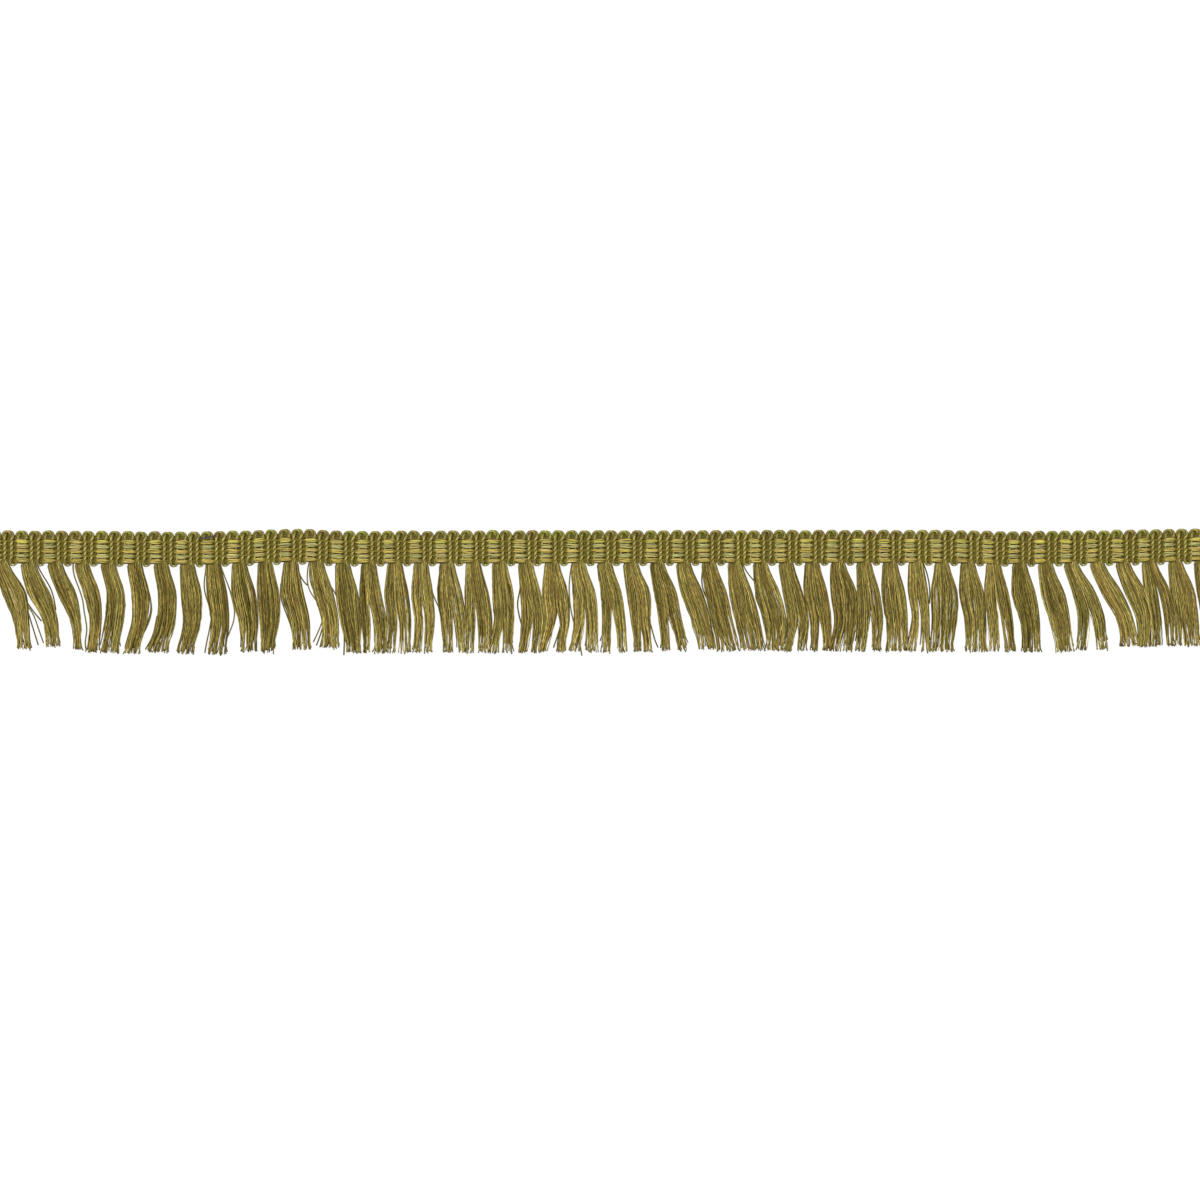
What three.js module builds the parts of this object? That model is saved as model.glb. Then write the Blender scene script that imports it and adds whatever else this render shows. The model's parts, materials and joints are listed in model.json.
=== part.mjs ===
// A cut length of fringe trim, lying face up with its back on Z = 0. X runs along the trim, Y up its face, Z out of it.
// The heading is a narrow woven band: cord ribs that turn in round loops along the top edge, and blocks of five
// short floats over every other pair of ribs. Below it hangs a skirt of cut yarn, one lock for each repeat of the weave.
import * as THREE from "three";
import { mergeVertices } from "three/addons/utils/BufferGeometryUtils.js";

// Driving sizes, in millimetres.
const REPEAT = 7.5;
const REPEATS = 48;
const LENGTH = REPEAT * REPEATS;

// The heading. Y = 0 is the line along which it is sewn on, halfway up it.
const HEADING_TOP = 4.9;
const HEADING_FOOT = -4.5;
const GROUND_THICK = 1.2;
const LOOP_PITCH = REPEAT / 2;
const LOOP_RADIUS = 1.55;
const LOOP_CENTRE_Y = HEADING_TOP - LOOP_RADIUS;
const LOOP_STEPS = 6;
const LOOP_UNEVEN = 0.12;
const LOOP_NOTCH = 0.1;

// Each loop has two legs, which run down the face as ribs. They show beside the float blocks.
const LEG_SPACING = 1.9;
const LEG_WIDTH = 1.16;
const LEG_CREST = 0.6;
const LEG_RISE = 0.55;
const LEG_FOOT = HEADING_FOOT + 0.25;
const LEG_TOP = LOOP_CENTRE_Y - 0.15;

// The floats: five rounded rows in each block.
const FLOAT_ROWS = 5;
const FLOAT_PITCH = 1.35;
const FLOAT_FIRST_Y = 1.6;
const FLOAT_LENGTH = 3.5;
const FLOAT_FLANK = 0.2;
const FLOAT_RISE = 0.8;

// Where the blocks, the bare ribs and the locks stand in one repeat, as shares of it.
const BLOCK_AT = 0.25;
const RIBS_AT = 0.75;
const LOCK_AT = 0.5;

// The skirt's backing is a narrow strip just below the heading. It bulges between the locks, where ribs turn back.
const SEAM_GAP = 0.3;
const STRIP_TOP = HEADING_FOOT - SEAM_GAP;
const STRIP_DEPTH = 0.55;
const STRIP_FOOT = STRIP_TOP - STRIP_DEPTH;
const STRIP_THICK = 1.5;
const TURN_DROP = 0.3;
const TURN_HALF = 1.1;

// The locks.
const STRANDS = 5;
const STRAND_STEPS = 3;
const STRAND_FILL = 0.76;
const ROOT_WIDTH = 4.5;
const ROOT_HEIGHT = 1.4;
const TIP_HEIGHT = 0.95;
const EDGE_HEIGHT = 0.65;
const LOCK_CLEARANCE = 0.4;
const PARTING_FROM = 0.3;
const CUT_UNEVEN = 0.35;

// The trim doesn't lie quite straight: how far it rises along its length.
const BOW = [
  { x: -180, rise: 0.1 },
  { x: -141, rise: -0.1 },
  { x: -115, rise: -0.3 },
  { x: -84, rise: 0.45 },
  { x: -71, rise: -0.1 },
  { x: -41, rise: 0.0 },
  { x: 60, rise: 0.15 },
  { x: 89, rise: 0.2 },
  { x: 126, rise: -0.15 },
  { x: 146, rise: 0.1 },
  { x: 180, rise: 0.65 },
];

// The locks from left to right. lean: how far the middle of the lock lies to the right of its root, and width: how wide
// the lock is, each at a third, at two thirds and at the end of its drop. left: the share of the lock that falls to the
// left of its parting. gap: how wide the parting is at the cut end.
const LOCKS = [
  { lean: [2.2, 2.4, 2.5], width: [5.4, 4.0, 3.7], drop: 23.6, left: 0.5, gap: 0.3 },
  { lean: [3.2, 4.6, 5.5], width: [6.0, 4.2, 3.6], drop: 23.6, left: 0.5, gap: 0.4 },
  { lean: [2.5, 5.4, 6.6], width: [6.2, 4.3, 3.6], drop: 23.0, left: 0.5, gap: 0.0 },
  { lean: [2.8, 5.2, 5.9], width: [5.0, 2.7, 1.8], drop: 23.7, left: 0.5, gap: 0.0 },
  { lean: [2.4, 3.5, 3.0], width: [4.5, 3.3, 3.4], drop: 24.4, left: 0.8, gap: 0.5 },
  { lean: [1.8, 1.7, 0.2], width: [5.2, 5.2, 5.0], drop: 24.6, left: 0.4, gap: 0.6 },
  { lean: [1.3, 1.5, -0.6], width: [5.3, 5.0, 4.2], drop: 24.7, left: 0.5, gap: 0.0 },
  { lean: [1.5, 1.2, -1.4], width: [5.5, 5.3, 5.4], drop: 24.4, left: 0.7, gap: 0.8 },
  { lean: [1.0, 1.3, -0.4], width: [6.0, 5.0, 4.6], drop: 24.6, left: 0.5, gap: 0.0 },
  { lean: [0.9, 1.6, 0.6], width: [5.8, 5.2, 4.9], drop: 25.0, left: 0.3, gap: 0.4 },
  { lean: [1.1, 2.5, 2.4], width: [7.0, 5.3, 4.0], drop: 24.4, left: 0.5, gap: 0.0 },
  { lean: [0.6, 1.2, 0.4], width: [6.2, 5.3, 3.4], drop: 24.6, left: 0.5, gap: 0.0 },
  { lean: [-0.1, 2.2, 3.0], width: [6.4, 5.2, 4.9], drop: 24.2, left: 0.8, gap: 0.3 },
  { lean: [1.6, 3.5, 3.0], width: [6.0, 5.0, 5.8], drop: 23.4, left: 0.4, gap: 0.5 },
  { lean: [1.0, 1.8, 2.3], width: [6.4, 5.5, 4.5], drop: 24.6, left: 0.2, gap: 0.7 },
  { lean: [0.4, 1.1, 1.2], width: [6.1, 6.9, 6.4], drop: 24.6, left: 0.4, gap: 1.3 },
  { lean: [0.2, 1.0, 0.8], width: [6.7, 6.4, 6.7], drop: 24.6, left: 0.5, gap: 0.7 },
  { lean: [0.2, 0.8, 0.1], width: [6.2, 5.5, 5.2], drop: 24.4, left: 0.5, gap: 1.4 },
  { lean: [0.3, -0.1, -0.1], width: [6.4, 4.4, 3.2], drop: 24.3, left: 0.5, gap: 0.0 },
  { lean: [0.5, 0.1, -0.4], width: [7.9, 9.6, 8.4], drop: 24.6, left: 0.6, gap: 1.3 },
  { lean: [0.8, 1.0, 0.1], width: [5.9, 5.7, 6.4], drop: 24.7, left: 0.5, gap: 0.9 },
  { lean: [1.0, 1.8, 0.6], width: [5.9, 6.6, 5.3], drop: 24.6, left: 0.5, gap: 1.2 },
  { lean: [0.6, 1.5, -0.2], width: [7.0, 6.6, 7.0], drop: 24.4, left: 0.5, gap: 3.0 },
  { lean: [1.4, 1.9, 1.4], width: [6.7, 7.0, 7.6], drop: 24.3, left: 0.5, gap: 1.4 },
  { lean: [2.1, 2.3, 2.6], width: [5.7, 6.6, 6.9], drop: 24.7, left: 0.5, gap: 1.7 },
  { lean: [2.1, 2.8, 3.3], width: [6.0, 5.5, 5.2], drop: 24.4, left: 0.5, gap: 0.7 },
  { lean: [2.5, 3.6, 5.0], width: [6.5, 6.6, 7.2], drop: 24.2, left: 0.5, gap: 2.3 },
  { lean: [2.4, 4.9, 6.9], width: [6.6, 5.8, 4.6], drop: 23.9, left: 0.5, gap: 0.6 },
  { lean: [2.3, 3.6, 5.5], width: [6.8, 5.9, 6.2], drop: 24.3, left: 0.6, gap: 0.4 },
  { lean: [1.9, 3.4, 5.0], width: [6.7, 7.3, 6.2], drop: 24.2, left: 0.4, gap: 0.4 },
  { lean: [2.2, 4.0, 3.7], width: [8.0, 5.9, 3.9], drop: 24.3, left: 0.5, gap: 0.0 },
  { lean: [1.8, 3.2, 1.9], width: [5.6, 6.0, 6.5], drop: 24.4, left: 0.5, gap: 1.3 },
  { lean: [0.8, 2.0, 2.0], width: [6.7, 5.9, 5.4], drop: 24.3, left: 0.5, gap: 0.9 },
  { lean: [1.4, 1.8, 0.6], width: [7.2, 6.2, 6.4], drop: 24.3, left: 0.5, gap: 0.7 },
  { lean: [1.1, 1.2, 0.8], width: [6.4, 7.0, 7.0], drop: 24.6, left: 0.5, gap: 1.9 },
  { lean: [0.7, 1.2, 1.5], width: [6.8, 6.7, 5.8], drop: 24.6, left: 0.3, gap: 0.3 },
  { lean: [0.4, 0.7, 0.1], width: [5.6, 4.9, 5.3], drop: 24.4, left: 0.4, gap: 1.0 },
  { lean: [0.4, 0.0, -0.8], width: [7.8, 7.3, 6.6], drop: 24.6, left: 0.5, gap: 0.0 },
  { lean: [0.5, 1.5, 1.7], width: [6.6, 5.9, 6.2], drop: 24.4, left: 0.7, gap: 0.4 },
  { lean: [0.5, 1.4, 1.8], width: [7.0, 7.2, 7.7], drop: 24.3, left: 0.5, gap: 1.6 },
  { lean: [0.9, 2.2, 2.6], width: [6.9, 5.6, 5.1], drop: 24.4, left: 0.2, gap: 0.3 },
  { lean: [1.9, 3.3, 4.7], width: [7.0, 5.7, 4.9], drop: 24.4, left: 0.5, gap: 0.0 },
  { lean: [3.4, 4.9, 5.0], width: [7.0, 7.4, 8.5], drop: 24.0, left: 0.5, gap: 2.6 },
  { lean: [3.9, 6.8, 7.9], width: [6.0, 4.7, 4.9], drop: 23.0, left: 0.5, gap: 0.0 },
  { lean: [3.3, 6.1, 6.4], width: [6.3, 6.9, 6.0], drop: 23.0, left: 0.6, gap: 0.4 },
  { lean: [2.7, 4.4, 4.2], width: [6.7, 3.8, 4.1], drop: 23.1, left: 0.5, gap: 0.0 },
  { lean: [2.0, 2.0, 2.1], width: [5.8, 5.8, 5.5], drop: 23.1, left: 0.5, gap: 0.5 },
  { lean: [0.9, 0.7, 0.6], width: [5.2, 5.2, 5.0], drop: 23.1, left: 0.5, gap: 0.3 },
];

// A small repeatable unevenness, from -1 to 1, for the nth of many like things.
function uneven(n) {
  return Math.sin(n * 2.4) * 0.6 + Math.sin(n * 7.1 + 1) * 0.4;
}

function smooth(t) {
  const held = Math.min(1, Math.max(0, t));
  return held * held * (3 - 2 * held);
}

// How far the trim has risen at x.
function bowAt(x) {
  const next = BOW.findIndex((row) => row.x >= x);
  if (next <= 0) return BOW[next < 0 ? BOW.length - 1 : 0].rise;
  const [a, b] = [BOW[next - 1], BOW[next]];
  return a.rise + (b.rise - a.rise) * smooth((x - a.x) / (b.x - a.x));
}

const FRONT = new THREE.Vector3(0, -1, 0);
const BACK = new THREE.Vector3(0, 1, 0);
const LEFT = new THREE.Vector3(-1, 0, 0.1);
const RIGHT = new THREE.Vector3(1, 0, 0.1);
const FACE_UP = new THREE.Vector3(0, 0, 1);
const FACE_DOWN = new THREE.Vector3(0, 0, -1);

const point = (x, y, z) => new THREE.Vector3(x, y, z);
const repeatStart = (n) => -LENGTH / 2 + n * REPEAT;

// A closed surface, gathered face by face. Each face is turned to look along its outward direction.
class Surface {
  corners = [];

  triangle(a, b, c, outward) {
    const normal = b.clone().sub(a).cross(c.clone().sub(a));
    this.corners.push(a, ...(normal.dot(outward) < 0 ? [c, b] : [b, c]));
  }

  quad(a, b, c, d, outward) {
    this.triangle(a, b, c, outward);
    this.triangle(a, c, d, outward);
  }

  // A flat panel with holes. The plane names the two axes that it is laid out on, such as "xy".
  panel(outline, holes, plane, outward) {
    const flat = (ring) => ring.map((p) => new THREE.Vector2(p[plane[0]], p[plane[1]]));
    const all = [outline, ...holes].flat();
    THREE.ShapeUtils.triangulateShape(flat(outline), holes.map(flat)).forEach(([a, b, c]) =>
      this.triangle(all[a], all[b], all[c], outward),
    );
  }

  // The faces between two rows of points that run the same way.
  band(row, other, outward) {
    let [i, j] = [0, 0];
    while (i < row.length - 1 || j < other.length - 1) {
      const along = (2 * i + 1) * (other.length - 1) <= (2 * j + 1) * (row.length - 1);
      if (along) this.triangle(row[i], row[i + 1], other[j], outward);
      else this.triangle(row[i], other[j], other[j + 1], outward);
      if (along) i++;
      else j++;
    }
  }

  geometry() {
    const bent = this.corners.flatMap((p) => [p.x, p.y + bowAt(p.x), p.z]);
    const loose = new THREE.BufferGeometry();
    loose.setAttribute("position", new THREE.Float32BufferAttribute(bent, 3));
    const closed = mergeVertices(loose, 1e-4);
    closed.computeVertexNormals();
    return closed;
  }
}

// One leg: a bar with four sloping sides, cut back a little at both ends. It returns its outline on the ground.
function addLeg(surface, middle, short) {
  const ring = (half, top, foot, z) => [
    point(middle - half, top, z),
    point(middle + half, top, z),
    point(middle + half, foot, z),
    point(middle - half, foot, z),
  ];
  const [top, foot] = [LEG_TOP - short, LEG_FOOT + short];
  const low = ring(LEG_WIDTH / 2, top, foot, GROUND_THICK);
  const high = ring(LEG_CREST / 2, top - 0.2, foot + 0.2, GROUND_THICK + LEG_RISE);
  [BACK, RIGHT, FRONT, LEFT].forEach((outward, k) =>
    surface.quad(low[k], low[(k + 1) % 4], high[(k + 1) % 4], high[k], outward),
  );
  surface.panel(high, [], "xy", FACE_UP);
  return low;
}

// One block of floats: its section has a flat-topped rise for each row, and furrows between the rows.
// It returns its outline on the ground.
function addFloats(surface, middle) {
  const half = FLOAT_PITCH / 2;
  const section = (x) => {
    const end = FLOAT_FIRST_Y + half - FLOAT_ROWS * FLOAT_PITCH;
    const points = [point(x, FLOAT_FIRST_Y + half, GROUND_THICK)];
    for (let row = 0; row < FLOAT_ROWS; row++) {
      const y = FLOAT_FIRST_Y - row * FLOAT_PITCH;
      if (row > 0) points.push(point(x, y + half, GROUND_THICK + FLOAT_RISE / 3));
      points.push(point(x, y + half - FLOAT_FLANK, GROUND_THICK + FLOAT_RISE));
      points.push(point(x, y - half + FLOAT_FLANK, GROUND_THICK + FLOAT_RISE));
    }
    return [...points, point(x, end, GROUND_THICK)];
  };
  const left = section(middle - FLOAT_LENGTH / 2);
  const right = section(middle + FLOAT_LENGTH / 2);
  surface.panel(left, [], "yz", LEFT);
  surface.panel(right, [], "yz", RIGHT);
  left.slice(1).forEach((p, k) => {
    const outward = point(0, p.z - left[k].z, left[k].y - p.y);
    surface.quad(left[k], right[k], right[k + 1], p, outward);
  });
  return [left[0], right[0], right.at(-1), left.at(-1)];
}

// One repeat of the heading: a flat ground with two round loops along its top edge, and what stands on it.
function addHeading(surface, n) {
  const [from, to] = [repeatStart(n), repeatStart(n + 1)];
  const edge = [];
  for (let loop = 0; loop < 2; loop++) {
    const x = from + (loop + 0.5) * LOOP_PITCH;
    const lift = LOOP_UNEVEN * uneven(2 * n + loop);
    for (let s = LOOP_STEPS; s >= 0; s--) {
      const turn = (Math.PI * s) / LOOP_STEPS;
      edge.push([x + LOOP_RADIUS * Math.cos(turn), LOOP_CENTRE_Y + (LOOP_RADIUS + lift) * Math.sin(turn)]);
    }
    if (loop === 0) edge.push([from + LOOP_PITCH, LOOP_CENTRE_Y - LOOP_NOTCH]);
  }
  const notch = LOOP_CENTRE_Y - LOOP_NOTCH;
  const outline = [[from, HEADING_FOOT], [from, notch], ...edge, [to, notch], [to, HEADING_FOOT]];
  const low = outline.map(([x, y]) => point(x, y, 0));
  const high = outline.map(([x, y]) => point(x, y, GROUND_THICK));
  const ribs = from + RIBS_AT * REPEAT;
  const standing = [
    addFloats(surface, from + BLOCK_AT * REPEAT),
    addLeg(surface, ribs - LEG_SPACING / 2, 0),
    addLeg(surface, ribs + LEG_SPACING / 2, 0.12),
  ];
  surface.panel(low, [], "xy", FACE_DOWN);
  surface.panel(high, standing, "xy", FACE_UP);
  const last = outline.length - 1;
  for (let k = 1; k < last - 1; k++) {
    const outward = point(low[k].y - low[k + 1].y, low[k + 1].x - low[k].x, 0);
    surface.quad(low[k], low[k + 1], high[k + 1], high[k], outward);
  }
  surface.quad(low[last], low[0], high[0], high[last], FRONT);
  if (n === 0) surface.quad(low[0], low[1], high[1], high[0], LEFT);
  if (n === REPEATS - 1) surface.quad(low[last - 1], low[last], high[last], high[last - 1], RIGHT);
}

// The left and right edges of each lock at its root, at a third, at two thirds and at its end.
// Where two neighbours would touch, each gives way by half.
function lockEdges() {
  const edges = LOCKS.map((lock, n) => {
    const root = repeatStart(n) + LOCK_AT * REPEAT;
    return [0, ...lock.lean].map((lean, k) => {
      const half = (k ? lock.width[k - 1] : ROOT_WIDTH) / 2;
      return { left: root + lean - half, right: root + lean + half };
    });
  });
  edges.slice(1).forEach((lock, n) =>
    lock.forEach((edge, k) => {
      const before = edges[n][k];
      const short = LOCK_CLEARANCE - (edge.left - before.right);
      if (short <= 0) return;
      before.right -= short / 2;
      edge.left += short / 2;
    }),
  );
  return edges;
}

// The rings of the kth strand of lock n, from the backing to the cut end. Each ring is a triangle that stands on
// Z = 0: its left foot, its ridge and its right foot.
function strandRings(n, k, edges) {
  const lock = LOCKS[n];
  const share = (k + 0.5) / STRANDS;
  const crown = EDGE_HEIGHT + (1 - EDGE_HEIGHT) * (1 - (2 * share - 1) ** 2);
  const drop = lock.drop + CUT_UNEVEN * uneven(n * STRANDS + k);
  return edges.map((edge, step) => {
    const t = step / (edges.length - 1);
    const parting = lock.gap * smooth((t - PARTING_FROM) / (1 - PARTING_FROM));
    const pitch = (edge.right - edge.left - parting) / STRANDS;
    const x = edge.left + pitch * (k + 0.5) + (share > lock.left ? parting : 0);
    const half = (pitch * STRAND_FILL) / 2;
    const y = STRIP_FOOT - drop * t;
    const height = (ROOT_HEIGHT + (TIP_HEIGHT - ROOT_HEIGHT) * t) * crown;
    return [point(x - half, y, 0), point(x, y, height), point(x + half, y, 0)];
  });
}

function addStrand(surface, rings) {
  rings.slice(1).forEach((next, step) => {
    const [left, ridge, right] = rings[step];
    surface.quad(left, ridge, next[1], next[0], LEFT);
    surface.quad(ridge, right, next[2], next[1], RIGHT);
    surface.quad(left, right, next[2], next[0], FACE_DOWN);
  });
  surface.triangle(...rings.at(-1), FRONT);
}

// One repeat of the skirt: a length of the backing strip, which drops in a small turn of cord at either side,
// and the lock that grows from its front between them.
function addSkirt(surface, n, edges) {
  const strands = Array.from({ length: STRANDS }, (_, k) => strandRings(n, k, edges));
  const [from, to] = [repeatStart(n), repeatStart(n + 1)];
  const front = [
    [from, STRIP_FOOT - TURN_DROP],
    [from + TURN_HALF, STRIP_FOOT],
    [to - TURN_HALF, STRIP_FOOT],
    [to, STRIP_FOOT - TURN_DROP],
  ];
  const low = front.map(([x, y]) => point(x, y, 0));
  const high = front.map(([x, y]) => point(x, y, STRIP_THICK));
  const [lowBack, highBack] = [0, STRIP_THICK].map((z) => [point(from, STRIP_TOP, z), point(to, STRIP_TOP, z)]);
  const feet = strands.flatMap(([[left, , right]]) => [left, right]);
  const roots = strands.flatMap(([root]) => root);
  surface.band([low[0], low[1], ...feet, low[2], low[3]], lowBack, FACE_DOWN);
  surface.band(high, highBack, FACE_UP);
  surface.panel([low[1], ...roots, low[2], high[2], high[1]], [], "xz", FRONT);
  surface.quad(low[0], low[1], high[1], high[0], FRONT);
  surface.quad(low[2], low[3], high[3], high[2], FRONT);
  surface.quad(lowBack[0], lowBack[1], highBack[1], highBack[0], BACK);
  if (n === 0) surface.quad(low[0], lowBack[0], highBack[0], high[0], LEFT);
  if (n === REPEATS - 1) surface.quad(low[3], lowBack[1], highBack[1], high[3], RIGHT);
  strands.forEach((rings) => addStrand(surface, rings));
}

function piece(name, surface, colour, roughness) {
  const finish = new THREE.MeshStandardMaterial({ color: colour, roughness, metalness: 0 });
  const mesh = new THREE.Mesh(surface.geometry(), finish);
  mesh.name = name;
  return mesh;
}

const heading = new Surface();
const skirt = new Surface();
const edges = lockEdges();
for (let n = 0; n < REPEATS; n++) {
  addHeading(heading, n);
  addSkirt(skirt, n, edges[n]);
}

const trim = new THREE.Group();
trim.add(piece("heading", heading, "#8f8444", 0.8));
trim.add(piece("fringe", skirt, "#83783c", 0.9));

export default trim;
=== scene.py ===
"""A cut length of fringe trim, laid flat and seen from straight above.

The heading is woven from twisted cords that run up and down its face and turn in loops along the
top edge. Shiny yarns float over every other pair of cords. A lock of cut yarn hangs from the
heading in each repeat of the weave. Sizes are in metres in the panel, and in millimetres in the
functions that lay the yarns out.
"""

import json
import math

import bpy
import numpy as np
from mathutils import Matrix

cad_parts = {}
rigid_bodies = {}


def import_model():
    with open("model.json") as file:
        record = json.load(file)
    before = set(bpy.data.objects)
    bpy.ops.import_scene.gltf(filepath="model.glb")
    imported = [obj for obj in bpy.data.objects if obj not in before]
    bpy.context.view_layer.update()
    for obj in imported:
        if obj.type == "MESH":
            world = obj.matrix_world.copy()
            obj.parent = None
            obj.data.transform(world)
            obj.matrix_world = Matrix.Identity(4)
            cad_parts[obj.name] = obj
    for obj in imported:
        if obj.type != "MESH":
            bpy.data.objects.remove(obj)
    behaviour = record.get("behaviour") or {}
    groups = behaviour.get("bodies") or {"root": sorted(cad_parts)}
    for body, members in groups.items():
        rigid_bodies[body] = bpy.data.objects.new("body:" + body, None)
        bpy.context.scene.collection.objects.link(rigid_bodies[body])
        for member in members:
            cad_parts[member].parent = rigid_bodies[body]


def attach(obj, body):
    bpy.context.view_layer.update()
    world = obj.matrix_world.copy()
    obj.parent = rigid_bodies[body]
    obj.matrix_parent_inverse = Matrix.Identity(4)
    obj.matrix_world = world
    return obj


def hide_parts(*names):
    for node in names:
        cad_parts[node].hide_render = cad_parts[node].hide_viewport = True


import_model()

bl_info = {
    "name": "Fringe Trim",
    "version": (1, 0, 0),
    "blender": (4, 2, 0),
    "location": "View3D > Sidebar > Trim",
    "description": "Builds a cut length of woven fringe trim, yarn by yarn",
    "category": "Add Mesh",
}

MM = 0.001
REPEATS = 48

# The trim doesn't lie quite straight: at x, it has risen by rise. Both are in millimetres.
BOW_X = (-180, -141, -115, -84, -71, -41, 60, 89, 126, 146, 180)
BOW_RISE = (0.1, -0.1, -0.3, 0.45, -0.1, 0.0, 0.15, 0.2, -0.15, 0.1, 0.65)

# The weave is drawn together in some places and pulled out in others: at x, it lies pull further to
# the right. Down the skirt, the pull is full to one height and fades to nothing at the other. All
# are in millimetres.
PULL_X = (-180, -170, -148, -115, -80, -40, 0, 24, 56, 100, 150, 174, 180)
PULL = (-0.2, -0.9, -0.3, 0.1, -0.25, -0.3, 0.0, 0.25, -0.2, -0.5, -0.8, -0.85, -0.4)
PULL_FULL, PULL_ENDS = -5, -20

# Painted light along the cut yarn, strongest in the middle of the trim: at x, in millimetres, it is
# this much lighter.
PAINTED_LIGHT_X = (-65, -50, 50, 65)
PAINTED_LIGHT = (-0.04, 0.05, 0.05, -0.01)

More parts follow.
